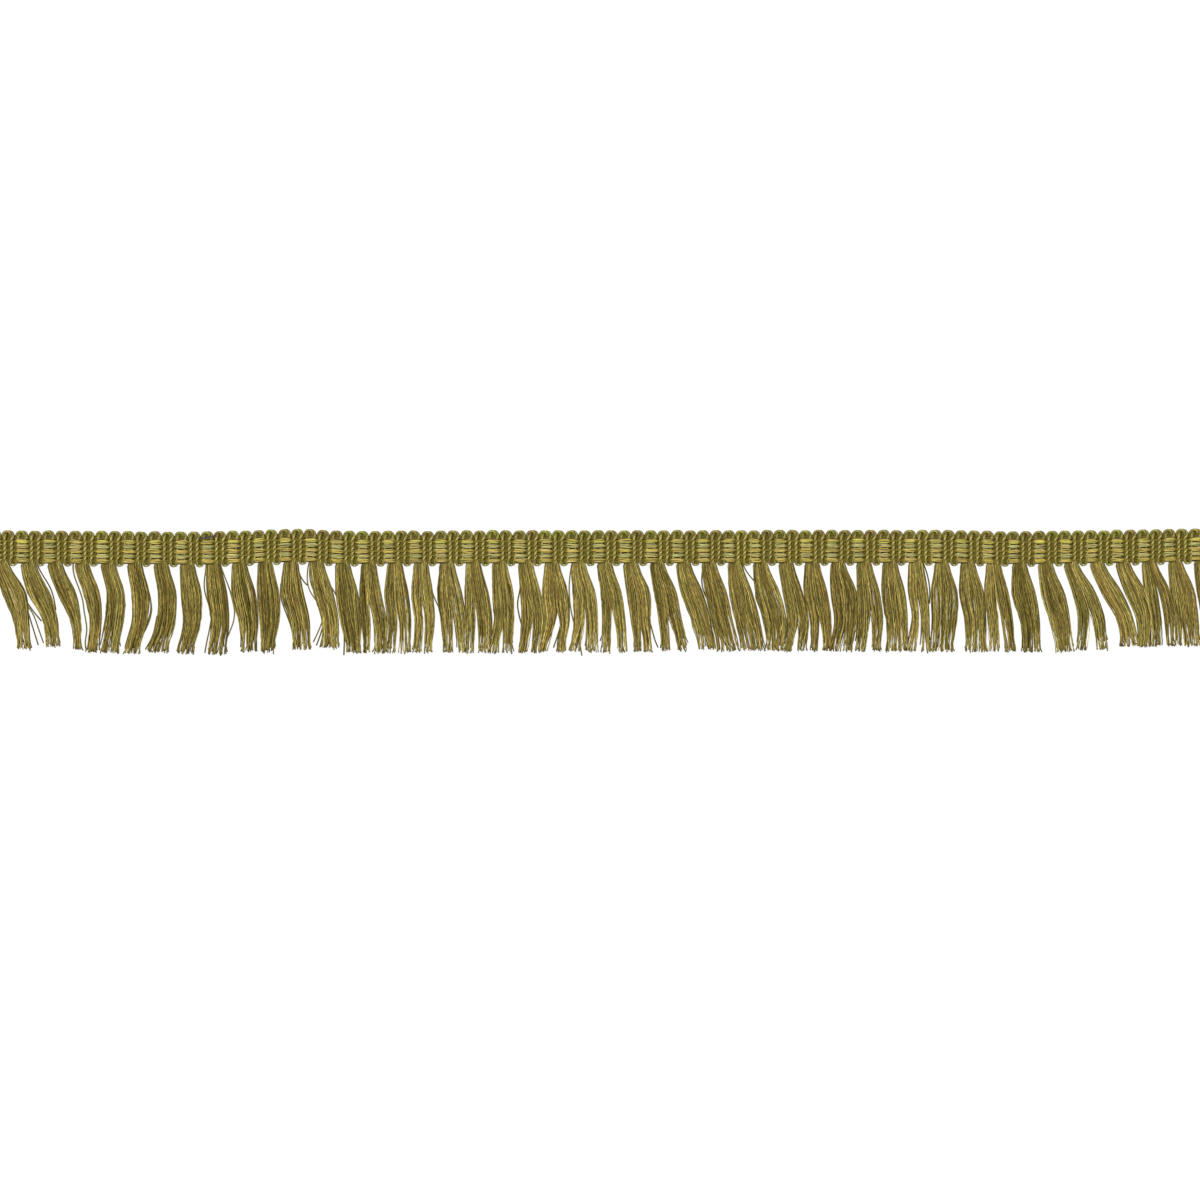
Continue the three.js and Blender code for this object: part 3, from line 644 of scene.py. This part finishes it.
def ply_turns(run, y, way, first_row, pitch):
    """How far the plies have turned along a cord, in millimetres of its lay.

    On a rib, one of them crosses the face halfway between two rows. Between two ribs the cord is
    twisted half as hard, and the nearest fit is taken.
    """
    on_rib = np.abs(way) > 0.999
    at, turned = [], []
    for k in np.nonzero(on_rib)[0]:
        here = way[k] * (y[k] - first_row)
        if at and on_rib[k - 1]:
            here += turned[-1] - way[k - 1] * (y[k - 1] - first_row)
        elif at:
            natural = turned[-1] + 0.5 * (run[k] - at[-1])
            here += round((natural - here) / pitch) * pitch
        at.append(run[k])
        turned.append(here)
    return np.interp(run, at, turned)


# The cords are laid in three pieces: the first cord of each, and the one after its last.
CORD_PIECES = ((0, 16), (16, 33), (33, REPEATS + 1))

# A ply's radius, as a share of its cord's thickness.
PLY_RADIUS = 0.28

# Where a cord starts to take its loop's colour and its small loop's, in millimetres up the face.
LOOP_COLOUR, RING_COLOUR = 2.5, -3.3


class TRIM_OT_cords(bpy.types.Operator):
    """Runs the twisted cords that make the ribs, the loops and the small loops between the locks"""

    bl_idname = "trim.cords"
    bl_label = "Cords"

    def execute(self, context):
        sizes, colours = context.scene.trim_heading, context.scene.trim_colours
        chance = np.random.default_rng(context.scene.trim_fringe.seed)
        finish = yarn_finish(
            "twisted cord", plies=3, lay=1.6, depth=0.6, roughness=0.6, gloss=0.2, mottle=0.9
        )
        for number, (first, last) in enumerate(CORD_PIECES, 1):
            strands = Strands(6)
            for cord in range(first, last):
                self.lay_cord(strands, cord, sizes, colours, chance)
            own(strands.made(f"cords_{number}", finish))
        return {"FINISHED"}

    def lay_cord(self, strands, cord, sizes, colours, chance):
        """Lays the two plies of a cord. Its small loop stands where its repeat starts."""
        repeat, thick, lay = sizes.repeat / MM, sizes.cord / MM, sizes.lay / MM
        first_row, pitch = sizes.first_row / MM, sizes.row_pitch / MM
        start = (cord - REPEATS / 2) * repeat
        left, right = cord > 0, cord < REPEATS
        route, size, way = cord_route(start, repeat, first_row, pitch, left, right, chance)
        route, size, way = evenly(eased(route, 2), 0.24, size, way)
        level, out = across(route)
        turned = ply_turns(travelled(route), route[:, 1], way, first_row, pitch)
        in_loop = smooth((route[:, 1] - LOOP_COLOUR) / 0.5)
        near_start = np.abs(route[:, 0] - start) < 1.5
        in_ring = smooth((RING_COLOUR - route[:, 1]) / 0.3) * near_start
        in_loop = np.maximum(in_loop, in_ring)[:, None]
        green = mixed(colours.loop_brown, colours.loop_green, chance.uniform(0.1, 1.0))
        brown = mixed(colours.loop_brown, colours.loop_green, chance.uniform(0.0, 0.9))
        loop_tint = np.where(route[:, :1] > start, green, brown)
        # Each ply is painted: shade where it lies low, and a highlight where it rises over the
        # face, whose strength wavers along the cord. The loops take the same painted highlight.
        low, high = linear(colours.cord_shaded), linear(colours.cord_highlight)
        highlight_strength = clamped(1 + 0.5 * eased(chance.normal(0, 1, len(route)), 3))[:, None]
        for ply in range(2):
            angle = -FULL_TURN * turned / lay + ply * math.pi
            sideways = level * np.cos(angle)[:, None]
            offset = (sideways + out * np.sin(angle)[:, None]) * thick / 4
            painted_highlight = (0.5 + 0.5 * np.sin(angle)[:, None]) ** 6 * highlight_strength
            rib_tint = low * (1 - painted_highlight) + high * painted_highlight
            tint = rib_tint * (1 - in_loop) + loop_tint * (0.62 + 0.42 * painted_highlight) * in_loop
            dye = chance.normal(1, 0.07)
            dye = dye + 0.1 * eased(chance.normal(0, 1, len(route)), 6)[:, None]
            strands.add(
                route + offset * size[:, None],
                size * thick * PLY_RADIUS,
                tint * dye,
                shift=chance.uniform(0, 9),
                rim=0.52,
            )


# The floats, in millimetres: half their length over the cords, how long they take to dip below
# them, how high they lie where they run behind, how far they rise from there, and how much higher
# still the middle of a block is.
FLOAT_HALF_LENGTH, FLOAT_DIP = 1.2, 0.75
FLOAT_BEHIND, FLOAT_RISE, FLOAT_CROWN = 0.26, 1.22, 0.14

# Where in its repeat the middle of a block of floats lies, as a share.
BLOCK_MIDDLE = 0.27


class TRIM_OT_floats(bpy.types.Operator):
    """Weaves the shiny yarns that float over one pair of cords and run behind the next"""

    bl_idname = "trim.floats"
    bl_label = "Floats"

    def execute(self, context):
        sizes, colours = context.scene.trim_heading, context.scene.trim_colours
        chance = np.random.default_rng(context.scene.trim_fringe.seed + 1)
        repeat, thick = sizes.repeat / MM, sizes.float_yarn / MM
        half = repeat * REPEATS / 2
        x = spread(-half, half, REPEATS * 20 + 1)
        in_repeat = np.minimum(((x + half) / repeat).astype(int), REPEATS - 1)
        from_middle = (((x + half) / repeat - BLOCK_MIDDLE + 0.5) % 1.0 - 0.5) * repeat

        def by_block(middle, spread_by):
            """A value that differs from block to block."""
            return chance.normal(middle, spread_by, REPEATS)[in_repeat]

        strands = Strands(5)
        for row in range(5):
            row_tint = self.row_tint(row, colours)
            for side in (1, 0, -1):
                off = np.abs(from_middle - by_block(0.0, 0.14))
                over = 1 - smooth((off - FLOAT_HALF_LENGTH - by_block(0, 0.12)) / FLOAT_DIP)
                slant = by_block(0, 0.05) + by_block(0, 0.05) * from_middle
                y = sizes.first_row / MM - row * sizes.row_pitch / MM
                y = y + side * (0.12 + 0.24 * over) + over * slant
                crown = 1.0 - clamped(off / 1.9) ** 2
                lift = by_block(0.06 * (1 - abs(side)), 0.05)
                z = FLOAT_BEHIND + over * (FLOAT_RISE + FLOAT_CROWN * crown + lift)
                tan = clamped(by_block(0.25, 0.35))[:, None]
                tint = row_tint * (1 - tan) + linear(colours.float_tan) * tan
                # A tone that differs from block to block, times painted shade where a float dips
                # behind the cords.
                block_tone_and_shade = by_block(0.95, 0.12) * (0.5 + 0.5 * over)
                points = eased(np.stack([x, y, z], axis=1), 2)
                radius = thick / 2 * by_block(1, 0.08) * (0.8 + 0.2 * over)
                strands.add(points, radius, tint * block_tone_and_shade[:, None], 0.85, shift=row * 3 + side)
        finish = yarn_finish(
            "satin float", plies=3, lay=9.0, depth=0.35, roughness=0.42, gloss=0.3, mottle=1.0
        )
        own(strands.made("floats", finish))
        return {"FINISHED"}

    def row_tint(self, row, colours):
        """Gold and sage take turns, and the first row is greener and brighter."""
        if row == 0:
            return mixed(colours.float_gold, colours.loop_green, 0.55) * 1.25
        return linear(colours.float_sage if row % 2 else colours.float_gold)


# The last pair of binding threads lies this many rows below the first.
LAST_BINDING_ROW = 4.42

# The darker threads below the loops: how high they lie on the face, and above the table.
EDGE_THREADS = ((2.72, 1.26), (2.36, 1.2))


class TRIM_OT_binding(bpy.types.Operator):
    """Runs the thin threads that tie the cords down, and the darker ones below the loops"""

    bl_idname = "trim.binding"
    bl_label = "Binding threads"

    def execute(self, context):
        sizes, colours = context.scene.trim_heading, context.scene.trim_colours
        chance = np.random.default_rng(context.scene.trim_fringe.seed + 2)
        repeat = sizes.repeat / MM
        half = repeat * REPEATS / 2
        x = spread(-half, half, REPEATS * 16 + 1)
        share = (x + half) / repeat % 1.0
        bare = smooth(1 - (np.abs(share - 0.75) - 0.19) / 0.07)
        on_rib = 0.5 - 0.5 * np.cos(FULL_TURN * share * 4)
        strands = Strands(4)
        olive, edge = linear(colours.binding), linear(colours.edge_thread)
        for row in range(6):
            for side in (0.15, -0.15):
                y = (sizes.first_row - min(row, LAST_BINDING_ROW) * sizes.row_pitch) / MM
                waver = chance.normal(0, 0.03)
                waver = waver + 0.05 * np.sin(x * chance.uniform(0.5, 0.9) + row)
                z = 0.78 + bare * 0.1 * on_rib + (1 - bare) * 0.4 * on_rib
                thread = np.stack([x, y + side + waver, z], axis=1)
                strands.add(thread, 0.17, olive * chance.uniform(0.8, 1.2))
        for row, (y, high) in enumerate(EDGE_THREADS):
            waver = 0.05 * np.sin(x * 0.63 + row * 2)
            waver = waver + 0.06 * np.sin(FULL_TURN * share * 4 + row)
            z = high - 0.25 * (1 - on_rib) - bare * 0.75
            thread = np.stack([x, y + waver, z], axis=1)
            strands.add(thread, 0.2, edge * chance.uniform(0.85, 1.15))
        finish = yarn_finish(
            "thin thread", plies=2, lay=0.9, depth=0.4, roughness=0.7, gloss=0.1, mottle=0.5
        )
        own(strands.made("binding_threads", finish))
        return {"FINISHED"}


# The layers of a lock, from the table up: how many yarns, how much of the lock's width they take,
# how high they lie, how thick they are, how light and how loose. How light is painted light and
# shade: the lower layers are painted darker, the top one lighter. The lowest are hidden by the
# rest, each of them stands for several yarns, and their dark shows as painted shade between the
# yarns above.
LAYERS = (
    (13, 0.95, 0.22, 2.15, 0.78, 0.25),
    (17, 0.99, 0.48, 1.0, 0.88, 0.8),
    (14, 0.9, 0.74, 1.0, 1.1, 1.0),
)

# Where a yarn starts under its rib, passes the rib's foot and leaves the heading, in millimetres
# above the heading's middle, and how far that rib stands from the middle of the lock.
YARN_STARTS, YARN_AT_FOOT, YARN_TOP = -3.9, -4.5, -5.35
RIB_FROM_MIDDLE = 0.94

# How much lower the locks end than the drop in their table says.
LONGER = 0.7

# How dark a lock is at its edges and at its cut ends.
EDGE_SHADE, END_SHADE = 0.94, 0.78


def through(stations, t):
    """A smooth curve through four evenly spaced stations, at t from 0 to 1."""
    at = np.minimum(t * 3, 2.9999)
    k = at.astype(int)
    f = at - k
    padded = np.array([stations[0], *stations, stations[-1]])
    a, b, c, d = (padded[k + step] for step in range(4))
    return b + f / 2 * (c - a + f * (2 * a - 5 * b + 4 * c - d + f * (3 * (b - c) + d - a)))


class Lock:
    """One lock of cut yarn: where it hangs, its shape, and how its ends gather in tufts."""

    def __init__(self, number, repeat, sizes, chance):
        self.lean, self.width, self.drop, self.left, self.opens, self.gap = LOCKS[number]
        self.root_x = (number + 0.5 - REPEATS / 2) * repeat
        self.root_width, self.waver = sizes.root_width / MM, sizes.waver / MM
        self.chance = chance
        self.tufts = chance.uniform(0.6, 0.9) * self.width[2]
        self.first_tuft = chance.uniform()

    def yarn(self, place, level, loose, hidden):
        """The line of one yarn. place is where it lies across the lock, from 0 to 1, and level is
        how high it lies."""
        chance = self.chance
        drop = self.drop + LONGER + chance.normal(0, 0.24)
        if chance.uniform() < 0.1:
            drop -= chance.uniform(0.4, 1.2)
        if hidden:
            drop -= chance.uniform(0.4, 1.6) + max(0.0, self.width[2] - self.width[1])
        t = spread(0, 1, 26)
        x = self.across_lock(t, place, loose)
        y = YARN_TOP - (drop - 0.5) * t
        settled = smooth(t / 0.3)
        z = level * settled + (0.5 + level * 0.6) * (1 - settled) + chance.normal(0, 0.03)
        z = z + 0.1 * np.abs(self.wave(t, 0.4, 1.2)) * settled
        hung = np.stack([x, y, np.maximum(z, 0.2)], axis=1)
        rib = self.root_x + (-RIB_FROM_MIDDLE if place < 0.5 else RIB_FROM_MIDDLE)
        near = (place - (0.25 if place < 0.5 else 0.75)) * 2.8
        held = [
            [rib + near * 0.7, YARN_STARTS, 0.5 + level * 0.3],
            [rib + near, YARN_AT_FOOT, 0.55 + level * 0.5],
        ]
        return np.concatenate([held, hung])

    def across_lock(self, t, place, loose):
        """Where along the trim a yarn lies, at t from the root to the cut end."""
        chance = self.chance
        middle = through((0, *self.lean), t)
        width = through((self.root_width, *self.width), t) - 0.3 + 0.5 * smooth((t - 0.9) / 0.1)
        at = clamped(place + loose * chance.normal(0, 0.028) * t)
        gathered = 0.95 * smooth((t - 0.7) / 0.24) / (FULL_TURN * self.tufts)
        at = at - gathered * np.sin(FULL_TURN * self.tufts * (at - self.first_tuft))
        gap = self.gap + 0.3 if self.gap > 0.15 else 0.0
        parting = gap * clamped((t - self.opens) / (1.02 - self.opens)) ** 0.7
        side = 1.0 if place > self.left else 0.0
        x = self.root_x + middle - width / 2 + (width - parting) * at + side * parting
        swing = chance.normal(0, self.waver * loose)
        free = smooth(t * 4)
        x = x + swing * self.wave(t, 0.5, 1.5) * free
        x = x + loose * 0.09 * self.wave(t, 5, 10) * free
        x[-2:] += chance.normal(0, 0.12) * np.array([0.4, 1.6])
        return x

    def wave(self, t, fewest, most):
        """A wave down a yarn, with between fewest and most bends."""
        return np.sin(FULL_TURN * (t * self.chance.uniform(fewest, most) + self.chance.uniform()))


# The locks are laid in three pieces.
LOCK_PIECES = (range(0, 16), range(16, 32), range(32, REPEATS))


class TRIM_OT_locks(bpy.types.Operator):
    """Hangs a lock of cut yarns from the heading in each repeat"""

    bl_idname = "trim.locks"
    bl_label = "Locks"

    def execute(self, context):
        sizes, colours = context.scene.trim_fringe, context.scene.trim_colours
        chance = np.random.default_rng(sizes.seed + 3)
        repeat = context.scene.trim_heading.repeat / MM
        # The cut yarn's finish paints a little shade in the grooves of its twist.
        twist = {"plies": 1, "lay": 1.9, "depth": 0.7, "groove_shade": 0.13, "follow": 0.1}
        finish = yarn_finish("cut yarn", roughness=0.8, gloss=0.1, mottle=1.7, **twist)
        for number, locks in enumerate(LOCK_PIECES, 1):
            strands = Strands(5)
            for lock in locks:
                self.hang(strands, Lock(lock, repeat, sizes, chance), sizes, colours, chance)
            own(strands.made(f"locks_{number}", finish))
        return {"FINISHED"}

    def hang(self, strands, lock, sizes, colours, chance):
        """Hangs the yarns of a lock, layer by layer."""
        # A random difference between locks, plus painted light that is strongest in the middle of
        # the trim.
        lock_tone_and_light = chance.normal(0, 0.03) + np.interp(lock.root_x, PAINTED_LIGHT_X, PAINTED_LIGHT)
        for count, taken, level, thick, light, loose in LAYERS:
            hidden = thick > 1.0
            for k in range(count):
                place = 0.5 + (k / (count - 1) - 0.5) * taken
                place = clamped(place + loose * chance.normal(0, 0.3) / count)
                line, = evenly(lock.yarn(place, level, loose, hidden), 1.8 if hidden else 1.1)
                pale = chance.uniform() < 0.18 and not hidden
                tint = self.yarn_tint(lock_tone_and_light, pale, colours, chance)
                edge = EDGE_SHADE if abs(place - 0.5) > 0.46 else 1.0
                uneven = 1 + eased(chance.normal(0, 0.36, len(line)), 1)[:, None]
                uneven[-1] *= END_SHADE
                # Painted shade where the yarn comes out from under the heading.
                painted_shade_at_root = 0.84 + 0.16 * smooth(spread(0, 4, len(line)))[:, None]
                radius = sizes.yarn / MM / 2 * thick * chance.uniform(0.88, 1.1)
                radius = radius * (0.75 if pale else 0.97) * self.taper(len(line), hidden)
                # The tint takes the layer's painted light and shade, the painted shade at the
                # lock's edges and cut end, and a random unevenness along the yarn.
                strands.add(
                    line,
                    radius,
                    tint * light * edge * uneven * painted_shade_at_root,
                    0.55 if hidden else 1.0,
                    turn=chance.uniform(0, 6),
                    shift=chance.uniform(0, 9),
                )

    def yarn_tint(self, lock_tone_and_light, pale, colours, chance):
        """The tint of one yarn. tone is how much lighter its lock is than the others: a random
        difference between locks, plus painted light along the trim.
        """
        share = clamped(0.3 + lock_tone_and_light + chance.normal(0, 0.15) + (0.4 if pale else 0.0))
        tint = mixed(colours.fringe_dark, colours.fringe_light, share)
        brown = clamped(chance.normal(0.3, 0.3))
        return tint * (1 - brown) + linear(colours.fringe_brown) * (0.5 + share) * brown

    def taper(self, count, hidden):
        """How a yarn's thickness changes down it: a hidden one thins, and a cut end fans out."""
        if hidden:
            return 1 - 0.48 * smooth(spread(-3.6, 1.3, count))
        return np.append(np.ones(count - 2), (1.1, 1.3))


# The thread caught on the loops, in millimetres.
CAUGHT = ((-113.0, 2.75, 2.1), (-111.2, 2.85, 2.2), (-109.5, 3.2, 2.1), (-107.9, 3.5, 1.9))


class TRIM_OT_strays(bpy.types.Operator):
    """Lays the single yarns that stray from the locks, and the dark thread caught on the loops"""

    bl_idname = "trim.strays"
    bl_label = "Stray yarns"

    def execute(self, context):
        sizes, colours = context.scene.trim_fringe, context.scene.trim_colours
        chance = np.random.default_rng(sizes.seed + 4)
        repeat = context.scene.trim_heading.repeat / MM
        strands = Strands(7)
        for lock, marks in STRAYS:
            root_x = (lock + 0.5 - REPEATS / 2) * repeat
            line = np.array([(root_x + x, y, 0.45) for x, y in marks])
            line[-1, 2] = 0.2
            line, = evenly(line, 0.8)
            line, = evenly(eased(line, 6), 1.1)
            tint = mixed(colours.fringe_dark, colours.fringe_light, chance.uniform(0.0, 0.2))
            radius = sizes.yarn / MM / 2 * chance.uniform(1.25, 1.4)
            strands.add(line, radius, tint * 0.85, rim=0.2)
        finish = yarn_finish(
            "stray yarn", plies=2, lay=1.5, depth=0.7, roughness=0.8, gloss=0.1, mottle=1.2
        )
        own(strands.made("stray_yarns", finish))
        caught, = evenly(np.array(CAUGHT), 0.4)
        thread = Strands(6)
        thread.add(eased(caught, 3), 0.19, linear(colours.caught_thread))
        finish = yarn_finish(
            "dark thread", plies=2, lay=0.9, depth=0.4, roughness=0.7, gloss=0.1, mottle=0.3
        )
        own(thread.made("caught_thread", finish))
        return {"FINISHED"}


class TRIM_OT_stage(bpy.types.Operator):
    """Sets the table, the soft light and the camera straight above"""

    bl_idname = "trim.stage"
    bl_label = "Table, light and camera"

    def execute(self, context):
        scene = context.scene
        scene.view_settings.view_transform = "Standard"
        self.set_table()
        self.set_light(scene)
        self.set_camera(scene)
        return {"FINISHED"}

    def set_table(self):
        """A white table. Most of its white is its own, so that it shows hardly any shadow."""
        far = 1.5
        square = [(-far, -far, 0), (far, -far, 0), (far, far, 0), (-far, far, 0)]
        mesh = bpy.data.meshes.new("table")
        mesh.from_pydata(square, [], [(0, 1, 2, 3)])
        white = bpy.data.materials.new("white table")
        white.use_nodes = True
        shader = white.node_tree.nodes["Principled BSDF"]
        set_inputs(shader, {"Base Color": (0.15, 0.15, 0.15, 1), "Roughness": 1.0})
        set_inputs(shader, {"Specular IOR Level": 0.0})
        set_inputs(shader, {"Emission Color": (1, 1, 1, 1), "Emission Strength": 0.85})
        placed("table", mesh, white)

    def set_light(self, scene):
        """White light from all round, and one soft lamp from behind and the left."""
        world = bpy.data.worlds.new("studio")
        world.use_nodes = True
        background = world.node_tree.nodes["Background"]
        set_inputs(background, {"Color": (1, 1, 1, 1), "Strength": 1.0})
        scene.world = world
        lamp = bpy.data.lights.new("soft lamp", "AREA")
        lamp.shape = "DISK"
        lamp.size = 1.0
        lamp.energy = 56.0
        light = bpy.data.objects.new("soft lamp", lamp)
        light.location = (-1.0, 1.6, 2.2)
        towards = -light.location.normalized()
        light.rotation_euler = towards.to_track_quat("-Z", "Y").to_euler()
        scene.collection.objects.link(light)

    def set_camera(self, scene):
        """A long lens straight above. It looks down, as a new camera does."""
        lens = bpy.data.cameras.new("camera")
        lens.type = "PERSP"
        lens.lens = 135.0
        lens.sensor_width = 36.0
        lens.clip_start, lens.clip_end = 0.01, 20.0
        camera = bpy.data.objects.new("camera", lens)
        camera.location = (0.00244, -0.01524, 1.2948)
        scene.collection.objects.link(camera)
        scene.camera = camera


class TRIM_OT_join(bpy.types.Operator):
    """Hides the heading and the fringe that the record holds"""

    bl_idname = "trim.join"
    bl_label = "Heading and fringe"

    def execute(self, context):
        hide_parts("heading")
        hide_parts("fringe")
        return {"FINISHED"}


class TRIM_PT_panel(bpy.types.Panel):
    """Lists the trim's pieces with their sizes and colours"""

    bl_idname = "TRIM_PT_panel"
    bl_label = "Fringe trim"
    bl_space_type = "VIEW_3D"
    bl_region_type = "UI"
    bl_category = "Trim"

    def draw(self, context):
        scene = context.scene
        for group in (scene.trim_heading, scene.trim_fringe, scene.trim_colours):
            box = self.layout.box()
            for name in group.__annotations__:
                box.prop(group, name)
        for operator in OPERATORS:
            self.layout.operator(operator.bl_idname)


OPERATORS = (
    TRIM_OT_ground,
    TRIM_OT_cords,
    TRIM_OT_floats,
    TRIM_OT_binding,
    TRIM_OT_locks,
    TRIM_OT_strays,
    TRIM_OT_stage,
    TRIM_OT_join,
)
CLASSES = (HeadingSizes, FringeSizes, YarnColours, *OPERATORS, TRIM_PT_panel)


def register():
    for one in CLASSES:
        bpy.utils.register_class(one)
    bpy.types.Scene.trim_heading = bpy.props.PointerProperty(type=HeadingSizes)
    bpy.types.Scene.trim_fringe = bpy.props.PointerProperty(type=FringeSizes)
    bpy.types.Scene.trim_colours = bpy.props.PointerProperty(type=YarnColours)


def unregister():
    del bpy.types.Scene.trim_heading
    del bpy.types.Scene.trim_fringe
    del bpy.types.Scene.trim_colours
    for one in reversed(CLASSES):
        bpy.utils.unregister_class(one)


def main():
    register()
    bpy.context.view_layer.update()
    for operator in OPERATORS:
        group, name = operator.bl_idname.split(".")
        getattr(getattr(bpy.ops, group), name)()


if __name__ == "__main__":
    main()
